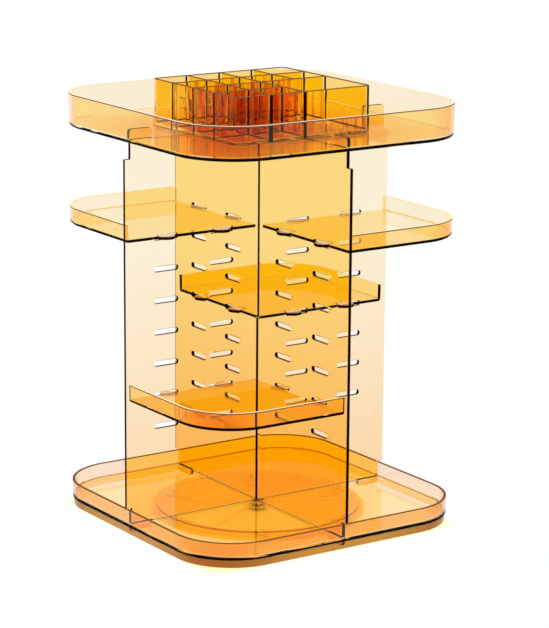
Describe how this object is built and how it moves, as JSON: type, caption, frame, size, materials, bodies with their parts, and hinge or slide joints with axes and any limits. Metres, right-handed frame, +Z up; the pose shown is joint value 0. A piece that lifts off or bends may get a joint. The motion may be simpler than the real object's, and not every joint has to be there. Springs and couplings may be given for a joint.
{
  "type": "rotating makeup organizer",
  "caption": "Turntable organiser of clear amber plastic: a square round-cornered base tray, crossing slotted panels with corner shelves, a top tray and a loose grid insert.",
  "frame": {"origin": "middle of the footprint, on the table under the foot pads", "axes": "+Z up; X along cross panel A and Y along cross panel B; the front shelf is in the -X -Y quarter"},
  "size_m": [0.2382, 0.2382, 0.3381],
  "materials": {
    "amber_base": "clear tinted, polished",
    "amber_panel": "clear tinted, polished",
    "amber_shelf": "clear tinted, polished",
    "amber_top": "clear tinted, polished",
    "amber_insert": "clear tinted, polished",
    "clear_disc": "clear tinted, moulded",
    "cage_plastic": "natural, moulded",
    "steel": "polished",
    "pad_rubber": "translucent, soft"
  },
  "bodies": {
    "turntable_foot": {"foot_disc": "clear_disc", "foot_pad_1": "pad_rubber", "foot_pad_2": "pad_rubber", "foot_pad_3": "pad_rubber", "foot_pad_4": "pad_rubber", "foot_pad_5": "pad_rubber", "foot_pad_6": "pad_rubber"},
    "bearing": {"roller_cage": "cage_plastic", "rollers": "steel"},
    "organiser": {"base_tray": "amber_base", "cross_panel_a": "amber_panel", "cross_panel_b": "amber_panel", "pivot_washer": "steel", "pivot_screw": "steel"},
    "top_tray": {"top_tray": "amber_top"},
    "grid_insert": {"grid_insert": "amber_insert"},
    "shelf_left": {"shelf_tray_left": "amber_shelf"},
    "shelf_right": {"shelf_tray_right": "amber_shelf"},
    "shelf_rear": {"shelf_tray_rear": "amber_shelf"},
    "shelf_front": {"shelf_tray_front": "amber_shelf"}
  },
  "joints": [
    {"name": "turntable_spin", "type": "hinge", "parent": "turntable_foot", "child": "organiser", "pos_m": [0, 0, 0.005], "axis": [0, 0, 1], "continuous": true},
    {"name": "cage_spin", "type": "hinge", "parent": "turntable_foot", "child": "bearing", "pos_m": [0, 0, 0.005], "axis": [0, 0, 1], "continuous": true},
    {"name": "top_tray_lift", "type": "slide", "parent": "organiser", "child": "top_tray", "axis": [0, 0, 1], "range_m": [0, 0.06]},
    {"name": "grid_insert_lift", "type": "slide", "parent": "top_tray", "child": "grid_insert", "axis": [0, 0, 1], "range_m": [0, 0.06]},
    {"name": "shelf_left_pull", "type": "slide", "parent": "organiser", "child": "shelf_left", "axis": [-0.7071, 0.7071, 0], "range_m": [0, 0.17]},
    {"name": "shelf_right_pull", "type": "slide", "parent": "organiser", "child": "shelf_right", "axis": [0.7071, -0.7071, 0], "range_m": [0, 0.17]},
    {"name": "shelf_rear_pull", "type": "slide", "parent": "organiser", "child": "shelf_rear", "axis": [0.7071, 0.7071, 0], "range_m": [0, 0.17]},
    {"name": "shelf_front_pull", "type": "slide", "parent": "organiser", "child": "shelf_front", "axis": [-0.7071, -0.7071, 0], "range_m": [0, 0.17]}
  ],
  "couplings": [
    {"joint": "cage_spin", "follows": "turntable_spin", "ratio": 0.5}
  ]
}
